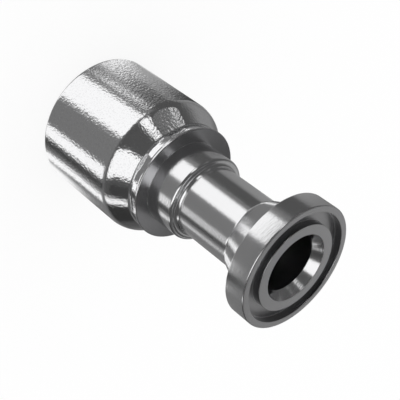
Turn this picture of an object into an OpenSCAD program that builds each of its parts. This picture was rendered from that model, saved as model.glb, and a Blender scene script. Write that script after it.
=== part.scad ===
// Crimp hose fitting: a hydraulic hose end with a straight split-flange head.
// It stands on the open end of its shell, with +Z along the axis up to the sealing face.
// The origin is the centre of the shell's open end. All sizes are in millimetres.

/* [Flange head] */
// Outer diameter of the flange head
head_d = 44.45; // [42:0.05:50]
// Thickness of the flange head at its rim
head_thick = 8; // [6:0.1:10]
// Edge break on the head's rim
head_edge = 0.4; // [0.2:0.05:0.8]
// Diameter where the tapered back meets the head
taper_big_d = 35.6; // [32:0.1:38]
// Axial length of the tapered back
taper_len = 9.8; // [7:0.1:13]
// Step up from the neck to the small end of the taper
taper_step = 0.8; // [0.5:0.1:1.2]
// Axial length of the hollow that leads from the neck up that step
taper_foot = 1.5; // [1:0.1:2.5]

/* [Face groove and bore] */
// Outer diameter of the empty face groove
groove_d = 39.75; // [38:0.05:41]
// Width of the face groove
groove_w = 4.2; // [3.6:0.1:4.8]
// Depth of the face groove
groove_depth = 2.8; // [2:0.1:3.5]
// Diameter of the through bore
bore_d = 20.4; // [16:0.1:21]
// Diameter of the countersink at the face
sink_d = 24.2; // [22:0.1:26]
// Depth of the countersink
sink_depth = 3.4; // [2:0.1:5]

/* [Neck, hub and collar] */
// Diameter of the neck
neck_d = 25.7; // [25:0.1:27]
// Length of the neck from the hub's front face to the taper
neck_len = 24.7; // [20:0.1:30]
// Diameter of the hub
hub_d = 31.2; // [30:0.1:33]
// Length of the hub from the collar's crease to its front face
hub_len = 11.9; // [9:0.1:14]
// Rounding of the hub's front edge
hub_edge = 1; // [0.6:0.1:1.6]
// Radius of the hollow between the hub's front face and the neck
hub_fillet = 1.4; // [0.5:0.1:1.6]
// Least width of the flat that stays on the hub's front face
hub_flat = 0.2; // [0.1:0.05:0.4]
// Diameter of the collar in front of the shell's lip
collar_d = 42; // [41:0.1:43]
// Height of the collar's rim above its back face
collar_rim = 0.9; // [0.6:0.1:1.5]
// Height of the crease between the dished collar and the hub above the collar's back face
crease_rise = 0.3; // [0.2:0.1:0.6]

/* [Hose tail] */
// Outer diameter of the hose tail
tail_d = 26.4; // [26:0.1:27]
// Distance of the tail's end from the shell's open end
tail_inset = 2.2; // [1:0.1:4]
// Length of the plain pilot at the tail's end, up to the first barb
pilot_len = 4; // [3:0.1:6]
// Number of ring-shaped barbs along the tail
barbs = 6; // [3:1:6]
// Distance between the barbs
barb_pitch = 4.6; // [4:0.1:4.8]
// Depth of the valleys between the barbs
barb_depth = 0.8; // [0.4:0.1:1]
// Width of the land on top of each barb
barb_land = 1.4; // [0.8:0.1:2]
// Chamfer outside at the tail's end
tail_chamfer = 1.2; // [0.6:0.1:1.4]
// Chamfer inside at the tail's end
bore_chamfer = 0.5; // [0.2:0.1:0.6]
// Diameter of the shoulder that stops the hose
stop_d = 34; // [33:0.1:36]
// Thickness of the hose stop
stop_thick = 2.4; // [1.5:0.1:3]

/* [Crimp shell] */
// Outer diameter of the shell
shell_d = 50.6; // [50:0.1:54]
// Length of the shell up to the corner of its shoulder
shell_len = 37; // [35:0.1:42]
// Wall of the shell over its grip teeth
shell_wall = 4.9; // [4:0.1:6]
// Rounding of the shoulder
shoulder_r = 4; // [2:0.1:6]
// Rounding of the outer edge at the open end
end_edge_r = 1; // [0.5:0.1:1.5]
// Angle of the pressed nose to the axis
nose_angle = 35; // [30:1:38]
// Axial length of the nose from the shoulder's corner to its foot
nose_len = 6.8; // [6:0.1:7]
// Rounding of the nose's foot
nose_foot_edge = 0.4; // [0.2:0.05:0.6]

/* [Grip teeth] */
// Number of ring-shaped grip teeth inside the shell
teeth = 6; // [3:1:6]
// Distance between the grip teeth
tooth_pitch = 4.6; // [4:0.1:5]
// Depth of the valleys between the teeth
tooth_depth = 1.3; // [0.6:0.1:1.6]
// Width of the land on top of each tooth
tooth_land = 1; // [0.6:0.1:1.6]
// Distance of the first tooth from the open end
tooth_inset = 3; // [2:0.1:4]
// Length of the slope that closes the hose space above the teeth
cup_slope = 3; // [2:0.1:4]

/* [Staked lip] */
// Diameter of the lip band at its front edge
lip_front_d = 40.8; // [40:0.1:41.2]
// Diameter of the lip band where it leaves the nose
lip_back_d = 40.1; // [39:0.1:40.4]
// Length of the lip band
lip_len = 3.5; // [2.5:0.1:4]
// Length of the slope that breaks the lip's front edge
lip_edge = 0.5; // [0.2:0.1:0.8]
// Length from the lip's front face back to its seat on the hose stop
seat_len = 7.9; // [6.5:0.1:8.5]
// Diameter of the nipple's land under the lip's front half
land_d = 34; // [32.4:0.1:36]
// Diameter of the nipple's locking groove, which the lip's rib is pressed into
lock_d = 31; // [30:0.1:32]
// Length of the lip's rib in the locking groove
rib_len = 4; // [3:0.1:5]
// Clearance between the lip and the nipple
lock_clear = 0.1; // [0.05:0.01:0.2]
// Seam between the lip's front face and the collar
seam = 0.2; // [0.1:0.05:0.4]

/* [Jaw marks] */
// Number of crimp jaws
jaws = 8; // [6:1:12]
// Direction of the first jaw about the axis
jaw_turn = 9; // [0:1:44]
// Depth of the flat that each jaw leaves at the back of the lip band
lip_flat_depth = 0.35; // [0.2:0.05:0.8]
// Angle of that flat to the axis
lip_flat_angle = 8; // [4:1:16]
// Number of the jaw, counted from 0, that also leaves a flat on the nose
deep_jaw = 1; // [0:1:11]
// Depth of that flat
nose_flat_depth = 0.4; // [0.2:0.05:0.6]

/* [Hidden] */
$fn = 128;
// Straight pieces in each round stretch of an outline
arc_steps = 12;

// Radii
head_r = head_d / 2;
taper_big_r = taper_big_d / 2;
groove_r = groove_d / 2;
bore_r = bore_d / 2;
sink_r = sink_d / 2;
neck_r = neck_d / 2;
hub_r = hub_d / 2;
collar_r = collar_d / 2;
tail_r = tail_d / 2;
stop_r = stop_d / 2;
shell_r = shell_d / 2;
lip_front_r = lip_front_d / 2;
lip_back_r = lip_back_d / 2;
land_r = land_d / 2;
lock_r = lock_d / 2;

// Shell, from its open end up
foot_z = shell_len + nose_len;
lip_z = foot_z + lip_len;
seat_z = lip_z - seat_len;
rib_z = seat_z + rib_len;
foot_r = shell_r - nose_len * tan(nose_angle);
tooth_r = shell_r - shell_wall;
valley_r = tooth_r + tooth_depth;
lip_bore_r = land_r + lock_clear;
rib_bore_r = lock_r + lock_clear;
shoulder_cut = shoulder_r * tan(nose_angle / 2);
seat_margin = 1;

// Nipple, from the collar's back face up to the sealing face
collar_z = lip_z + seam;
crease_z = collar_z + crease_rise;
hub_z = crease_z + hub_len;
taper_z = hub_z + neck_len;
head_z = taper_z + taper_len;
face_z = head_z + head_thick;
barb_z = tail_inset + pilot_len;
// Each chamfer at the tail's end leaves part of the tail's wall flat
tail_wall = tail_r - bore_r;
tail_edge = min(tail_chamfer, tail_wall / 2);
bore_edge = min(bore_chamfer, tail_wall / 4);

// Points of an arc about c, from angle a to angle b
function arc(c, r, a, b) =
    [for (i = [0:arc_steps]) c + r * [cos(a + (b - a) * i / arc_steps), sin(a + (b - a) * i / arc_steps)]];

// Points of the hollow from the cylinder of radius r, which it leaves smoothly at z1, up to p
function hollow(r, z1, p) =
    let (out = p.x - r,
         up = p.y - z1,
         big = (out * out + up * up) / (2 * out),
         sweep = asin(up / big))
    [for (i = [0:arc_steps]) let (t = sweep * i / arc_steps)
        [r + big * (1 - cos(t)), z1 + big * sin(t)]];

// The points in reverse order
function back(points) = [for (i = [len(points) - 1:-1:0]) points[i]];

module shell_outline() {
    shoulder_c = [shell_r - shoulder_r, shell_len - shoulder_cut];
    end_c = [shell_r - end_edge_r, end_edge_r];
    // The nose's foot is rounded where it steps in to the lip band
    foot_in = nose_foot_edge * (1 / cos(nose_angle) - tan(nose_angle));
    foot_c = [foot_r - foot_in, foot_z - nose_foot_edge];
    grip = [for (k = [0:teeth - 1]) let (z = tooth_inset + k * tooth_pitch)
        each [[valley_r, z], [tooth_r, z + tooth_pitch - tooth_land], [tooth_r, z + tooth_pitch]]];
    grip_end = tooth_inset + teeth * tooth_pitch;
    polygon(concat(
        [[valley_r, 0]],
        arc(end_c, end_edge_r, -90, 0),
        arc(shoulder_c, shoulder_r, 0, nose_angle),
        arc(foot_c, nose_foot_edge, nose_angle, 90),
        [[lip_back_r, foot_z], [lip_front_r, lip_z - lip_edge]],
        [[lip_front_r - lip_edge * tan(nose_angle), lip_z], [lip_bore_r, lip_z], [lip_bore_r, rib_z]],
        [[rib_bore_r, rib_z], [rib_bore_r, seat_z]],
        [[stop_r + seat_margin, seat_z], [valley_r, seat_z - cup_slope], [valley_r, grip_end]],
        back(grip)
    ));
}

// The flat that one jaw presses into the lip band, on the +X side
module lip_flat() {
    intersection() {
        translate([lip_back_r - lip_flat_depth, 0, foot_z])
            rotate([0, lip_flat_angle, 0])
                translate([0, -shell_r, -lip_len])
                    cube([shell_r, 2 * shell_r, 3 * lip_len]);
        translate([0, -shell_r, foot_z])
            cube([2 * shell_r, 2 * shell_r, 2 * lip_len]);
    }
}

// The flat that one jaw presses into the nose, on the +X side
module nose_flat() {
    intersection() {
        translate([foot_r, 0, foot_z])
            rotate([0, -nose_angle, 0])
                translate([-nose_flat_depth, -shell_r, -2 * nose_len])
                    cube([shell_r, 2 * shell_r, 3 * nose_len]);
        translate([0, -shell_r, 0])
            cube([2 * shell_r, 2 * shell_r, foot_z]);
    }
}

module crimp_shell() {
    color("silver") difference() {
        rotate_extrude() shell_outline();
        for (k = [0:jaws - 1]) rotate([0, 0, jaw_turn + 360 * k / jaws]) lip_flat();
        rotate([0, 0, jaw_turn + 360 * deep_jaw / jaws]) nose_flat();
    }
}

module nipple_outline() {
    hub_step = hub_r - neck_r;
    round_r = min(hub_edge, hub_step / 2);
    foot_hollow = min(hub_fillet, hub_step - round_r - hub_flat);
    barb_lines = [for (k = [0:barbs - 1]) let (z = barb_z + k * barb_pitch)
        each [[tail_r, z], [tail_r, z + barb_land], [tail_r - barb_depth, z + barb_land]]];
    polygon(concat(
        [[bore_r + bore_edge, tail_inset], [tail_r - tail_edge, tail_inset]],
        [[tail_r, tail_inset + 2 * tail_edge]],
        barb_lines,
        [[tail_r, barb_z + barbs * barb_pitch], [tail_r, seat_z - stop_thick]],
        [[stop_r, seat_z - stop_thick], [stop_r, seat_z], [lock_r, seat_z]],
        [[lock_r, rib_z + lock_clear], [land_r, rib_z + lock_clear], [land_r, collar_z]],
        [[collar_r, collar_z], [collar_r, collar_z + collar_rim], [hub_r, crease_z]],
        arc([hub_r - round_r, hub_z - round_r], round_r, 0, 90),
        arc([neck_r + foot_hollow, hub_z + foot_hollow], foot_hollow, 270, 180),
        hollow(neck_r, taper_z - taper_foot, [neck_r + taper_step, taper_z]),
        [[taper_big_r, head_z], [head_r - head_edge, head_z], [head_r, head_z + head_edge]],
        [[head_r, face_z - head_edge], [head_r - head_edge, face_z]],
        [[groove_r, face_z], [groove_r, face_z - groove_depth]],
        [[groove_r - groove_w, face_z - groove_depth], [groove_r - groove_w, face_z]],
        [[sink_r, face_z], [bore_r, face_z - sink_depth], [bore_r, tail_inset + bore_edge]]
    ));
}

module flange_nipple() {
    color("gainsboro") rotate_extrude() nipple_outline();
}

crimp_shell();
flange_nipple();
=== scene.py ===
"""Looks of the crimp hose fitting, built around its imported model.

The shell is polished and plated, the nipple is turned steel. Both are turned anew here with finer
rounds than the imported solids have, at the same sizes, so that their reflections run smoothly.
Lengths are in metres, written as millimetres times MM. Heights count up from the shell's open end.
"""
import math

import bpy
from mathutils import Matrix, Vector


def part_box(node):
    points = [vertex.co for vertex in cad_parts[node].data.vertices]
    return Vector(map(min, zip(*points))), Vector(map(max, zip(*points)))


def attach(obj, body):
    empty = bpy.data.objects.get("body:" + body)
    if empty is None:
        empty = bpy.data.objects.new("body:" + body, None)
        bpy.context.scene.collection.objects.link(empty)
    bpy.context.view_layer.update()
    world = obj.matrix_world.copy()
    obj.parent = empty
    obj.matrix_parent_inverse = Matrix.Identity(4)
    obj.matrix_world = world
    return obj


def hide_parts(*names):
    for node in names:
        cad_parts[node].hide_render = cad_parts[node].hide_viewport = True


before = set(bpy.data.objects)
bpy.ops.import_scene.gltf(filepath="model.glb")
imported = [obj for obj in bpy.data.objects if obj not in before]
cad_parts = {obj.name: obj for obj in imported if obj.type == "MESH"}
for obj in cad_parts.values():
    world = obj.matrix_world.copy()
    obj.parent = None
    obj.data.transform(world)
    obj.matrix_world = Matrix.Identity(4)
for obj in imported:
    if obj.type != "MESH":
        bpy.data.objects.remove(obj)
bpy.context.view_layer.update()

MM = 0.001
TURN_STEPS = 288
# Points nearer than this are one
WELD = 0.001 * MM
# Steeper corners than this stay sharp
SHARP = math.radians(5)

# Sizes read from the frame
SHELL_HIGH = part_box("crimp_shell")[1]
NIPPLE_LOW, NIPPLE_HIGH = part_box("flange_nipple")
SHELL_R = SHELL_HIGH.x
LIP_Z = SHELL_HIGH.z
HEAD_R = NIPPLE_HIGH.x
FACE_Z = NIPPLE_HIGH.z
TAIL_Z = NIPPLE_LOW.z

# Shell
SHELL_WALL = 4.9 * MM
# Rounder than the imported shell's shoulder, for a soft end to the bands of light
SHOULDER_R = 8 * MM
SHOULDER_STEPS = 24
END_EDGE = 1 * MM
NOSE_ANGLE = math.radians(35)
NOSE_LEN = 6.8 * MM
NOSE_FOOT_EDGE = 0.4 * MM
LIP_LEN = 3.5 * MM
LIP_FRONT_R = 20.4 * MM
LIP_BACK_R = 20.05 * MM
LIP_EDGE = 0.5 * MM
SEAT_LEN = 7.9 * MM
LIP_BORE_R = 17.1 * MM
RIB_BORE_R = 15.6 * MM
RIB_LEN = 4 * MM
CUP_R = 18 * MM
CUP_SLOPE = 3 * MM
TEETH = 6
TOOTH_PITCH = 4.6 * MM
TOOTH_DEPTH = 1.3 * MM
TOOTH_LAND = 1 * MM
TOOTH_INSET = 3 * MM

# Jaw marks on the shell
JAWS = 8
JAW_TURN = math.radians(9)
LIP_FLAT_DEPTH = 0.35 * MM
LIP_FLAT_ANGLE = math.radians(8)
# One jaw also leaves a flat on the nose
DEEP_JAW = 1
NOSE_FLAT_DEPTH = 0.4 * MM
# The flat's right-hand edge is broken by a narrow facet
FLAT_EDGE_TURN = math.radians(-5)
FLAT_EDGE_DEPTH = 0.27 * MM
# The blocks stop this short of the nose's foot, so that no face of theirs lies on one of the shell's
JAW_GAP = 0.02 * MM

# Nipple
SEAM = 0.2 * MM
COLLAR_R = 21 * MM
COLLAR_RIM = 0.9 * MM
COLLAR_EDGE = 0.25 * MM
CREASE_RISE = 0.3 * MM
HUB_R = 15.6 * MM
HUB_LEN = 11.9 * MM
HUB_EDGE = 1 * MM
HUB_EDGE_STEPS = 32
HUB_HOLLOW = 1.4 * MM
NECK_R = 12.85 * MM
TAPER_STEP = 0.8 * MM
TAPER_FOOT = 1.5 * MM
TAPER_LEN = 9.8 * MM
TAPER_BIG_R = 17.8 * MM
HEAD_THICK = 8 * MM
HEAD_EDGE = 0.4 * MM
GROOVE_R = 19.875 * MM
GROOVE_W = 4.2 * MM
GROOVE_DEPTH = 2.8 * MM
SMALL_EDGE = 0.15 * MM
SINK_R = 12.1 * MM
SINK_DEPTH = 3.4 * MM
BORE_R = 10.2 * MM
TAIL_R = 13.2 * MM
TAIL_CHAMFER = 1.2 * MM
BORE_CHAMFER = 0.5 * MM
LOCK_CLEAR = 0.1 * MM
STOP_R = 17 * MM
STOP_THICK = 2.4 * MM
BARBS = 6
BARB_PITCH = 4.6 * MM
BARB_LAND = 1.4 * MM
BARB_DEPTH = 0.8 * MM
PILOT_LEN = 4 * MM

# Heights that both pieces share
FOOT_Z = LIP_Z - LIP_LEN
SHOULDER_Z = FOOT_Z - NOSE_LEN
SEAT_Z = LIP_Z - SEAT_LEN
RIB_Z = SEAT_Z + RIB_LEN
COLLAR_Z = LIP_Z + SEAM
CREASE_Z = COLLAR_Z + CREASE_RISE
HUB_Z = CREASE_Z + HUB_LEN
HEAD_Z = FACE_Z - HEAD_THICK
TAPER_Z = HEAD_Z - TAPER_LEN

# Polished plating: its orange peel, shallower on the nose, which the jaws have pressed smooth
PLATING_COLOUR = "#F8F8F9"
SPECK_COLOUR = "#EEEEEF"
PLATING_ROUGHNESS = 0.09
PLATING_BEVEL = 0.5 * MM
PEEL_SIZE = 0.8 * MM
PEEL_DEPTH = 0.055 * MM
NOSE_PEEL_DEPTH = 0.045 * MM
PEEL_FADE_Z = (SHOULDER_Z - 4 * MM, SHOULDER_Z + 2 * MM)
SPECK_SIZE = 0.5 * MM
# The noise's values between which specks fade in
SPECK_RANGE = (0.5, 0.3)

# Turned steel: its tool marks, drawn coarser than real ones so that they show at this size
STEEL_COLOUR = "#F8F8F9"
# Painted shade: the collar's dished face is coloured darker to dim its reflections
DISH_SHADE_COLOUR = "#C2C2C4"
# Painted shade: the groove's walls are coloured darker, as shade in the recess
GROOVE_WALL_SHADE_COLOUR = "#9A9A9C"
STEEL_ROUGHNESS = 0.16
FACED_ROUGHNESS = 0.42
DISH_SHARE = 0.5
STEEL_BEVEL = 0.2 * MM
MARK_SIZE = 0.5 * MM
MARK_DEPTH = 0.022 * MM
MARK_STRETCH = (0.4, 0.4, 1)

# Studio
FLOOR_SIZE = 6
FLOOR_COLOUR = "#FCFCFC"
FLOOR_GLOW = 0.85
WHITE = (1, 1, 1, 1)


def arc(centre, radius, start, end, steps=20):
    """Points on an arc about centre, from angle start to angle end in degrees."""
    x, z = centre
    angles = [math.radians(start + (end - start) * i / steps) for i in range(steps + 1)]
    return [(x + radius * math.cos(t), z + radius * math.sin(t)) for t in angles]


def hollow(radius, height, end, steps=16):
    """Points of the hollow that leaves the cylinder of that radius smoothly at height and leads up to end."""
    out, up = end[0] - radius, end[1] - height
    big = (out * out + up * up) / (2 * out)
    sweep = math.asin(up / big)
    angles = [sweep * i / steps for i in range(steps + 1)]
    return [(radius + big * (1 - math.cos(t)), height + big * math.sin(t)) for t in angles]


def select_none():
    """Leaves edit mode and deselects every object."""
    if bpy.context.object and bpy.context.object.mode != "OBJECT":
        bpy.ops.object.mode_set(mode="OBJECT")
    bpy.ops.object.select_all(action="DESELECT")


def pick(piece):
    """Makes piece the only one selected, and the active one."""
    select_none()
    piece.select_set(True)
    bpy.context.view_layer.objects.active = piece


def turn(name, outline):
    """A turned piece: the closed outline of (radius, height) points, drawn point by point and spun about Z."""
    select_none()
    bpy.ops.mesh.primitive_plane_add(size=MM, location=(outline[0][0], 0, outline[0][1]))
    piece = bpy.context.object
    piece.name = name
    bpy.ops.object.transform_apply(location=True)
    bpy.ops.object.mode_set(mode="EDIT")
    bpy.ops.mesh.select_all(action="SELECT")
    bpy.ops.mesh.merge(type="CENTER")
    here = outline[0]
    for there in outline[1:] + outline[:1]:
        step = (there[0] - here[0], 0, there[1] - here[1])
        bpy.ops.mesh.extrude_region_move(TRANSFORM_OT_translate={"value": step})
        here = there
    bpy.ops.mesh.select_all(action="SELECT")
    bpy.ops.mesh.remove_doubles(threshold=WELD)
    bpy.ops.mesh.spin(steps=TURN_STEPS, angle=math.tau, center=(0, 0, 0), axis=(0, 0, 1))
    bpy.ops.mesh.select_all(action="SELECT")
    bpy.ops.mesh.remove_doubles(threshold=WELD)
    bpy.ops.mesh.normals_make_consistent(inside=False)
    bpy.ops.object.mode_set(mode="OBJECT")
    return piece


def finish_piece(piece, node, material):
    """Smooths the piece's rounds, keeps its corners, and puts it in its CAD node's place."""
    pick(piece)
    bpy.ops.object.shade_smooth_by_angle(angle=SHARP)
    piece.data.materials.clear()
    piece.data.materials.append(material)
    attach(piece, "root")
    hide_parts(node)


def shell_outline():
    """The shell's section, from its open end up the outside and down the inside."""
    shoulder_cut = SHOULDER_R * math.tan(NOSE_ANGLE / 2)
    nose_deg = math.degrees(NOSE_ANGLE)
    foot_r = SHELL_R - NOSE_LEN * math.tan(NOSE_ANGLE)
    foot_in = NOSE_FOOT_EDGE * (1 / math.cos(NOSE_ANGLE) - math.tan(NOSE_ANGLE))
    tooth_r = SHELL_R - SHELL_WALL
    valley_r = tooth_r + TOOTH_DEPTH
    points = [(valley_r, 0)]
    points += arc((SHELL_R - END_EDGE, END_EDGE), END_EDGE, -90, 0)
    points += arc((SHELL_R - SHOULDER_R, SHOULDER_Z - shoulder_cut), SHOULDER_R, 0, nose_deg, SHOULDER_STEPS)
    points += arc((foot_r - foot_in, FOOT_Z - NOSE_FOOT_EDGE), NOSE_FOOT_EDGE, nose_deg, 90)
    points += [(LIP_BACK_R, FOOT_Z), (LIP_FRONT_R, LIP_Z - LIP_EDGE)]
    points += [(LIP_FRONT_R - LIP_EDGE * math.tan(NOSE_ANGLE), LIP_Z)]
    points += [(LIP_BORE_R, LIP_Z), (LIP_BORE_R, RIB_Z), (RIB_BORE_R, RIB_Z), (RIB_BORE_R, SEAT_Z)]
    points += [(CUP_R, SEAT_Z), (valley_r, SEAT_Z - CUP_SLOPE), (valley_r, TOOTH_INSET + TEETH * TOOTH_PITCH)]
    for k in reversed(range(TEETH)):
        z = TOOTH_INSET + k * TOOTH_PITCH
        points += [(tooth_r, z + TOOTH_PITCH), (tooth_r, z + TOOTH_PITCH - TOOTH_LAND), (valley_r, z)]
    return points


def nipple_outline():
    """The nipple's section, from the tail's end up the outside and down the bore."""
    boss_r = GROOVE_R - GROOVE_W
    floor_z = FACE_Z - GROOVE_DEPTH
    lock_r, land_z = RIB_BORE_R - LOCK_CLEAR, RIB_Z + LOCK_CLEAR
    points = [(BORE_R + BORE_CHAMFER, TAIL_Z), (TAIL_R - TAIL_CHAMFER, TAIL_Z)]
    points += [(TAIL_R, TAIL_Z + 2 * TAIL_CHAMFER)]
    for k in range(BARBS):
        z = TAIL_Z + PILOT_LEN + k * BARB_PITCH
        points += [(TAIL_R, z), (TAIL_R, z + BARB_LAND), (TAIL_R - BARB_DEPTH, z + BARB_LAND)]
    points += [(TAIL_R, TAIL_Z + PILOT_LEN + BARBS * BARB_PITCH), (TAIL_R, SEAT_Z - STOP_THICK)]
    points += [(STOP_R, SEAT_Z - STOP_THICK), (STOP_R, SEAT_Z), (lock_r, SEAT_Z)]
    points += [(lock_r, land_z), (STOP_R, land_z), (STOP_R, COLLAR_Z)]
    points += [(COLLAR_R - SMALL_EDGE, COLLAR_Z), (COLLAR_R, COLLAR_Z + SMALL_EDGE)]
    points += arc((COLLAR_R - COLLAR_EDGE, COLLAR_Z + COLLAR_RIM - COLLAR_EDGE), COLLAR_EDGE, 0, 90)
    points += [(HUB_R, CREASE_Z)]
    points += arc((HUB_R - HUB_EDGE, HUB_Z - HUB_EDGE), HUB_EDGE, 0, 90, HUB_EDGE_STEPS)
    points += arc((NECK_R + HUB_HOLLOW, HUB_Z + HUB_HOLLOW), HUB_HOLLOW, 270, 180)
    points += hollow(NECK_R, TAPER_Z - TAPER_FOOT, (NECK_R + TAPER_STEP, TAPER_Z))
    points += [(TAPER_BIG_R, HEAD_Z)]
    points += arc((HEAD_R - HEAD_EDGE, HEAD_Z + HEAD_EDGE), HEAD_EDGE, -90, 0)
    points += arc((HEAD_R - HEAD_EDGE, FACE_Z - HEAD_EDGE), HEAD_EDGE, 0, 90)
    points += arc((GROOVE_R + SMALL_EDGE, FACE_Z - SMALL_EDGE), SMALL_EDGE, 90, 180)
    points += [(GROOVE_R, floor_z), (boss_r, floor_z)]
    points += arc((boss_r - SMALL_EDGE, FACE_Z - SMALL_EDGE), SMALL_EDGE, 0, 90)
    points += [(SINK_R, FACE_Z), (BORE_R, FACE_Z - SINK_DEPTH), (BORE_R, TAIL_Z + BORE_CHAMFER)]
    return points


def jaw_block(corner, lean, about, above):
    """The block that presses one flat into the shell, just above or just below the nose's foot.

    The flat's plane runs through corner, which is a radius and a height, and leans by an angle to the axis.
    """
    size = 2 * SHELL_R
    select_none()
    bpy.ops.mesh.primitive_cube_add(size=size, location=(size / 2, 0, 0))
    block = bpy.context.object
    bpy.ops.object.transform_apply(location=True)
    block.rotation_euler = (0, lean, 0)
    block.location = (corner[0], 0, corner[1])
    bpy.ops.object.transform_apply(location=True, rotation=True)
    bpy.ops.object.mode_set(mode="EDIT")
    bpy.ops.mesh.select_all(action="SELECT")
    end_z = FOOT_Z + (JAW_GAP if above else -JAW_GAP)
    bpy.ops.mesh.bisect(plane_co=(0, 0, end_z), plane_no=(0, 0, 1), use_fill=True,
                        clear_inner=above, clear_outer=not above)
    bpy.ops.object.mode_set(mode="OBJECT")
    block.rotation_euler = (0, 0, about)
    bpy.ops.object.transform_apply(rotation=True)
    return block


def press_jaws(shell):
    """The jaws' marks: each jaw leaves a flat on the lip band, and one jaw also leaves a flat on the nose.

    All of the blocks are taken off in one cut, which keeps the shell closed.
    """
    foot_r = SHELL_R - NOSE_LEN * math.tan(NOSE_ANGLE)
    deep_turn = JAW_TURN + math.tau * DEEP_JAW / JAWS
    blocks = []
    for k in range(JAWS):
        corner = (LIP_BACK_R - LIP_FLAT_DEPTH, FOOT_Z)
        blocks.append(jaw_block(corner, LIP_FLAT_ANGLE, JAW_TURN + math.tau * k / JAWS, True))
    for depth, about in ((NOSE_FLAT_DEPTH, deep_turn), (FLAT_EDGE_DEPTH, deep_turn + FLAT_EDGE_TURN)):
        corner = (foot_r - depth / math.cos(NOSE_ANGLE), FOOT_Z)
        blocks.append(jaw_block(corner, -NOSE_ANGLE, about, False))
    jaws = bpy.data.collections.new("jaws")
    for block in blocks:
        jaws.objects.link(block)
    pick(shell)
    cut = shell.modifiers.new("jaws", "BOOLEAN")
    cut.operation = "DIFFERENCE"
    cut.solver = "EXACT"
    cut.operand_type = "COLLECTION"
    cut.collection = jaws
    bpy.ops.object.modifier_apply(modifier=cut.name)
    for block in blocks:
        bpy.data.objects.remove(block)
    bpy.data.collections.remove(jaws)


def linear(hex_colour):
    """An sRGB hex colour as the linear colour that Blender's sockets take."""
    channels = [int(hex_colour[i:i + 2], 16) / 255 for i in (1, 3, 5)]
    return tuple(c / 12.92 if c <= 0.04045 else ((c + 0.055) / 1.055) ** 2.4 for c in channels) + (1,)


def add_node(tree, kind, settings=None, inputs=None):
    """Adds a node with its settings; an input is a value, or another node's socket to link."""
    node = tree.nodes.new(kind)
    for key, value in (settings or {}).items():
        setattr(node, key, value)
    for key, value in (inputs or {}).items():
        if isinstance(value, bpy.types.NodeSocket):
            tree.links.new(value, node.inputs[key])
        else:
            node.inputs[key].default_value = value
    return node


def work_out(tree, operation, *values):
    """The result of one sum on values or sockets."""
    return add_node(tree, "ShaderNodeMath", {"operation": operation}, dict(enumerate(values))).outputs[0]


def near(tree, value, low, high):
    """1 where value lies between low and high, 0 elsewhere."""
    return work_out(tree, "COMPARE", value, (low + high) / 2, (high - low) / 2)


def blend(tree, share, plain, other):
    """The colour that goes from plain to other with share."""
    return add_node(tree, "ShaderNodeMix", {"data_type": "RGBA"}, {0: share, 6: plain, 7: other}).outputs[2]


def new_material(name):
    """A new material with an empty node tree."""
    material = bpy.data.materials.new(name)
    material.use_nodes = True
    material.node_tree.nodes.clear()
    return material, material.node_tree


def metal_surface(tree, colour, roughness, height, depth, edge, samples):
    """A bare metal of a colour, with a bump of that height and depth on softened edges."""
    soft_edge = add_node(tree, "ShaderNodeBevel", {"samples": samples}, {"Radius": edge})
    bump = add_node(tree, "ShaderNodeBump", None,
                    {"Height": height, "Strength": 1.0, "Distance": depth,
                     "Normal": soft_edge.outputs["Normal"]})
    shader = add_node(tree, "ShaderNodeBsdfPrincipled", None,
                      {"Base Color": colour, "Metallic": 1.0, "Roughness": roughness,
                       "Normal": bump.outputs["Normal"]})
    add_node(tree, "ShaderNodeOutputMaterial", None, {"Surface": shader.outputs["BSDF"]})


def polished_plating():
    """Bright zinc plating over steel, polished: mirror-like, with a fine orange peel that frays reflections."""
    material, tree = new_material("polished_zinc_plating")
    place = add_node(tree, "ShaderNodeTexCoord").outputs["Object"]
    peel = add_node(tree, "ShaderNodeTexNoise", None,
                    {"Vector": place, "Scale": 1 / PEEL_SIZE, "Detail": 1.0, "Roughness": 0.5})
    height = add_node(tree, "ShaderNodeSeparateXYZ", None, {0: place}).outputs["Z"]
    depth = add_node(tree, "ShaderNodeMapRange", None,
                     {"Value": height, "From Min": PEEL_FADE_Z[0], "From Max": PEEL_FADE_Z[1],
                      "To Min": PEEL_DEPTH, "To Max": NOSE_PEEL_DEPTH}).outputs["Result"]
    specks = add_node(tree, "ShaderNodeTexNoise", None,
                      {"Vector": place, "Scale": 1 / SPECK_SIZE, "Detail": 1.0, "Roughness": 0.5})
    dull = add_node(tree, "ShaderNodeMapRange", None,
                    {"Value": specks.outputs["Fac"], "From Min": SPECK_RANGE[0],
                     "From Max": SPECK_RANGE[1]}).outputs["Result"]
    colour = blend(tree, dull, linear(PLATING_COLOUR), linear(SPECK_COLOUR))
    metal_surface(tree, colour, PLATING_ROUGHNESS, peel.outputs["Fac"], depth, PLATING_BEVEL, 8)
    return material


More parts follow.
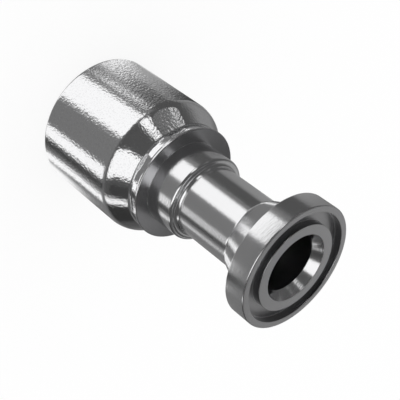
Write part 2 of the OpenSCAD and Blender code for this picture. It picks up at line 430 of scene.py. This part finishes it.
def turned_steel():
    """Turned and plated steel: fine rings left by the tool, which spread reflections along the axis."""
    material, tree = new_material("turned_plated_steel")
    place = add_node(tree, "ShaderNodeTexCoord").outputs["Object"]
    parts = add_node(tree, "ShaderNodeSeparateXYZ", None, {0: place})
    across = add_node(tree, "ShaderNodeCombineXYZ", None, {"X": parts.outputs["X"], "Y": parts.outputs["Y"]})
    radius = add_node(tree, "ShaderNodeVectorMath", {"operation": "LENGTH"}, {0: across.outputs[0]})
    radius = radius.outputs["Value"]
    height = parts.outputs["Z"]
    stretched = add_node(tree, "ShaderNodeVectorMath", {"operation": "MULTIPLY"}, {0: place, 1: MARK_STRETCH})
    marks = add_node(tree, "ShaderNodeTexNoise", None,
                     {"Vector": stretched.outputs[0], "Scale": 1 / MARK_SIZE, "Detail": 2.0, "Roughness": 0.6})
    # The faces square to the axis are left matte from the facing cut: the sealing face and the groove's floor
    face = work_out(tree, "GREATER_THAN", height, FACE_Z - SMALL_EDGE / 2)
    floor_z = FACE_Z - GROOVE_DEPTH
    boss_r = GROOVE_R - GROOVE_W
    at_floor = near(tree, height, floor_z - SMALL_EDGE, floor_z + SMALL_EDGE)
    between = near(tree, radius, boss_r + SMALL_EDGE / 2, GROOVE_R - SMALL_EDGE / 2)
    matte = work_out(tree, "MAXIMUM", face, work_out(tree, "MULTIPLY", at_floor, between))
    # The collar's dished face is half as matte, and its colour is darkened: painted shade that dims its reflections
    rim_z = COLLAR_Z + COLLAR_RIM
    at_dish = near(tree, height, rim_z - 2 * COLLAR_EDGE - SMALL_EDGE, rim_z + SMALL_EDGE)
    outside_hub = near(tree, radius, HUB_R + SMALL_EDGE / 2, COLLAR_R - SMALL_EDGE / 2)
    dish = work_out(tree, "MULTIPLY", at_dish, outside_hub)
    matte = work_out(tree, "MAXIMUM", matte, work_out(tree, "MULTIPLY", dish, DISH_SHARE))
    # The groove's walls are coloured darker: painted shade in the recess
    in_groove = near(tree, radius, boss_r - SMALL_EDGE / 2, GROOVE_R + SMALL_EDGE / 2)
    below_face = near(tree, height, floor_z + SMALL_EDGE, FACE_Z - SMALL_EDGE)
    walls = work_out(tree, "MULTIPLY", in_groove, below_face)
    # Painted shade: the dish's colour is darkened here to dim its reflections
    colour = blend(tree, dish, linear(STEEL_COLOUR), linear(DISH_SHADE_COLOUR))
    # Painted shade: the groove's walls are darkened here, as shade in the recess
    colour = blend(tree, walls, colour, linear(GROOVE_WALL_SHADE_COLOUR))
    rough = add_node(tree, "ShaderNodeMapRange", None,
                     {"Value": matte, "To Min": STEEL_ROUGHNESS, "To Max": FACED_ROUGHNESS}).outputs["Result"]
    metal_surface(tree, colour, rough, marks.outputs["Fac"], MARK_DEPTH, STEEL_BEVEL, 6)
    return material


def build_floor():
    """A plain white floor that keeps a faint shadow. Reflections pass it: the photographed metal shows no ground."""
    select_none()
    bpy.ops.mesh.primitive_plane_add(size=FLOOR_SIZE)
    floor = bpy.context.object
    floor.name = "floor"
    material, tree = new_material("white_floor")
    ray = add_node(tree, "ShaderNodeLightPath")
    sight = ray.outputs["Is Camera Ray"]
    for kind in ("Is Glossy Ray", "Is Transmission Ray"):
        sight = work_out(tree, "MAXIMUM", sight, ray.outputs[kind])
    share = work_out(tree, "MULTIPLY", sight, FLOOR_GLOW)
    matte = add_node(tree, "ShaderNodeBsdfDiffuse", None, {"Color": linear(FLOOR_COLOUR)})
    glow = add_node(tree, "ShaderNodeEmission", None, {"Color": WHITE, "Strength": 1.0})
    mix = add_node(tree, "ShaderNodeMixShader", None, {0: share, 1: matte.outputs[0], 2: glow.outputs[0]})
    add_node(tree, "ShaderNodeOutputMaterial", None, {"Surface": mix.outputs[0]})
    floor.data.materials.append(material)
    floor.visible_glossy = False
    floor.visible_shadow = False


# The studio is white all round. A grey tent round the fitting has windows through which the metal shows
# the white, and cards of other greys. Each has its name, direction round the axis, height above the
# horizon, width, height and edge softness across and up, all in degrees, then its lean: how far its
# direction turns for each degree up. A card's grey comes last.
WINDOWS = [
    ("main", 68, -37, 48, 24, 6, 5, -0.1),
    ("main_low", 85, -63, 50, 42, 7, 4, -0.85),
    ("side", 157.5, -40.75, 21, 14.5, 5, 12, -0.5),
    ("side_low", 175, -60, 22, 36, 5, 4, -1.0),
    ("left", 204.5, -40.75, 14, 14.5, 5, 12, -1.0),
    ("left_low", 232, -52, 20, 20, 5, 4, -3.0),
    ("front_high", 125, 17, 43, 58, 6, 8, -0.16),
    ("small_high", 53, 9, 14, 42, 4, 8, 0),
]
CARDS = [
    ("overhead", 0, 90, 720, 60, 0, 40, 0, 0.07),
    ("right_glow", -40, -8, 50, 30, 30, 20, 0, 0.24),
    ("rim_wall", -45, -31, 60, 7, 30, 4, 0, 0.26),
    ("rim_peak", -74, -30.2, 22, 2, 12, 1.5, 0, 0.72),
    ("hub_dark", -65, -37.8, 80, 4.4, 30, 2, 0, 0.05),
    ("right_wall", -50, -43.6, 80, 5, 30, 3, 0, 0.36),
    ("right_peak", -76, -45, 16, 5, 12, 2, 0, 0.75),
    ("right_low", 5, -44, 36, 6, 20, 3, 0, 0.2),
    ("right_floor", -40, -46.6, 100, 3.2, 30, 1.5, 0, 1.0),
    ("left_floor", 255, -46.2, 54, 9.4, 22, 4, 0, 1.0),
    ("left_neck", 265, -34.3, 50, 3, 40, 2, 0, 0.36),
    ("left_rim", 258, -30, 60, 5, 50, 2, 0, 0.2),
    ("left_dark", 250, -37.5, 70, 3, 20, 2, 0, 0.19),
    ("skirt", 97, -52, 12, 50, 8, 8, -0.5, 0.24),
    ("between", 183, -46, 14, 40, 6, 8, -0.75, 0.06),
    ("dark_right", 9, -26.5, 40, 29, 8, 4, 0, 0.08),
    ("streak", 27.5, -43.5, 10, 4.5, 4, 2, -2.5, 1.0),
    ("dark_left", 206, -2, 34, 26, 8, 10, 0, 0.035),
    ("dark_front", 168, 16, 20, 20, 6, 8, 0, 0.05),
    ("left_high", 185, -2, 10, 34, 5, 8, 0, 1.0),
    ("flat_card", 25, 19.5, 6, 8, 5, 5, 0, 0.17),
    ("flat_edge", 17.5, 16.6, 5, 8, 3, 4, 0, 0.7),
    ("face_card", 270, 28, 60, 30, 40, 20, 0, 0.34),
    ("collar_dark", 262, 39, 15, 12, 4, 4, 0, 0.04),
]
# The tent's own grey goes from one to the other between these heights above the horizon, in degrees
LOW_GREY, HIGH_GREY = 0.175, 0.08
LOW_END, HIGH_START = -30, -12
TENT_RADIUS = 2


def patch_mask(tree, way, level, spot):
    """How far a direction lies inside a window or card: 1 inside it, 0 outside."""
    name, azimuth, elevation, wide, high, soft_across, soft_up, lean = spot[:8]
    turned = add_node(tree, "ShaderNodeVectorRotate", {"rotation_type": "Z_AXIS"},
                      {"Vector": way, "Angle": -math.radians(azimuth)})
    split = add_node(tree, "ShaderNodeSeparateXYZ", None, {0: turned.outputs[0]})
    across = work_out(tree, "ARCTAN2", split.outputs["Y"], split.outputs["X"])
    up = work_out(tree, "SUBTRACT", level, math.radians(elevation))
    across = work_out(tree, "MULTIPLY_ADD", up, -lean, across)
    edges = []
    for angle, size, soft in ((across, wide, soft_across), (up, high, soft_up)):
        edge = add_node(tree, "ShaderNodeMapRange", {"interpolation_type": "SMOOTHSTEP"},
                        {"Value": work_out(tree, "ABSOLUTE", angle),
                         "From Min": math.radians((size + soft) / 2),
                         "From Max": math.radians((size - soft) / 2)})
        edges.append(edge.outputs[0])
    mask = work_out(tree, "MULTIPLY", *edges)
    mask.node.label = name
    return mask


def build_tent():
    """The tent's greys and windows. Only reflections see it: it hides nothing from the camera or the light."""
    select_none()
    bpy.ops.mesh.primitive_uv_sphere_add(segments=64, ring_count=32, radius=TENT_RADIUS)
    tent = bpy.context.object
    tent.name = "tent"
    material, tree = new_material("grey_tent")
    place = add_node(tree, "ShaderNodeTexCoord").outputs["Object"]
    way = add_node(tree, "ShaderNodeVectorMath", {"operation": "NORMALIZE"}, {0: place}).outputs["Vector"]
    rise = add_node(tree, "ShaderNodeSeparateXYZ", None, {0: way})
    level = work_out(tree, "ARCSINE", rise.outputs["Z"])
    grey = add_node(tree, "ShaderNodeMapRange", {"interpolation_type": "SMOOTHSTEP"},
                    {"Value": level, "From Min": math.radians(LOW_END), "From Max": math.radians(HIGH_START),
                     "To Min": LOW_GREY, "To Max": HIGH_GREY}).outputs[0]
    for card in CARDS:
        mask = patch_mask(tree, way, level, card)
        grey = add_node(tree, "ShaderNodeMix", {"data_type": "FLOAT"}, {0: mask, 2: grey, 3: card[-1]}).outputs[0]
    opening = patch_mask(tree, way, level, WINDOWS[0])
    for window in WINDOWS[1:]:
        opening = work_out(tree, "MAXIMUM", opening, patch_mask(tree, way, level, window))
    cloth = add_node(tree, "ShaderNodeEmission", None, {"Color": WHITE, "Strength": grey})
    clear = add_node(tree, "ShaderNodeBsdfTransparent")
    mix = add_node(tree, "ShaderNodeMixShader", None, {0: opening, 1: cloth.outputs[0], 2: clear.outputs[0]})
    add_node(tree, "ShaderNodeOutputMaterial", None, {"Surface": mix.outputs[0]})
    material.cycles.emission_sampling = "NONE"
    tent.data.materials.append(material)
    tent.visible_camera = False
    tent.visible_diffuse = False
    tent.visible_shadow = False


def build_world():
    """White light from all round."""
    world = bpy.data.worlds.new("white_studio")
    bpy.context.scene.world = world
    world.use_nodes = True
    tree = world.node_tree
    tree.nodes.clear()
    back = add_node(tree, "ShaderNodeBackground", None, {"Color": WHITE, "Strength": 1.0})
    add_node(tree, "ShaderNodeOutputWorld", None, {"Surface": back.outputs[0]})
    world.cycles.sampling_method = "NONE"


# Camera: the fitting's axis runs across the picture at AXIS_ACROSS and leans out of it by AXIS_LEAN
PICTURE_PX = 400
FOCAL_PX = 920.5
SENSOR = 36
CLIP_START = 10 * MM
AXIS_ACROSS = math.radians(37.22)
AXIS_LEAN = math.radians(35.86)
FACE_CENTRE_PX = (296.5, 268.3)
FACE_DEPTH = 282.1 * MM


def build_camera():
    """The camera, from where the photograph shows the face's centre and how the axis points."""
    across, lean = AXIS_ACROSS, AXIS_LEAN
    # The row's axes in the camera's view: right, down, away
    row_z = Vector((math.cos(lean) * math.cos(across), math.cos(lean) * math.sin(across), -math.sin(lean)))
    row_x = Vector((math.sin(across), -math.cos(across), 0))
    row_y = row_z.cross(row_x)
    right, down = ((px - PICTURE_PX / 2) / FOCAL_PX for px in FACE_CENTRE_PX)
    spot = Vector((right, down, 1)) * FACE_DEPTH
    place = Vector((0, 0, FACE_Z)) - Vector((spot.dot(row_x), spot.dot(row_y), spot.dot(row_z)))
    turn_to = Matrix([(axis.x, -axis.y, -axis.z) for axis in (row_x, row_y, row_z)])
    lens = bpy.data.cameras.new("camera")
    lens.sensor_width = SENSOR
    lens.lens = SENSOR * FOCAL_PX / PICTURE_PX
    lens.clip_start = CLIP_START
    camera = bpy.data.objects.new("camera", lens)
    bpy.context.scene.collection.objects.link(camera)
    camera.matrix_world = Matrix.Translation(place) @ turn_to.to_4x4()
    bpy.context.scene.camera = camera


def main():
    shell = turn("plated_shell", shell_outline())
    press_jaws(shell)
    finish_piece(shell, "crimp_shell", polished_plating())
    nipple = turn("turned_nipple", nipple_outline())
    finish_piece(nipple, "flange_nipple", turned_steel())
    build_floor()
    build_tent()
    build_world()
    build_camera()
    bpy.context.scene.view_settings.view_transform = "Standard"


main()
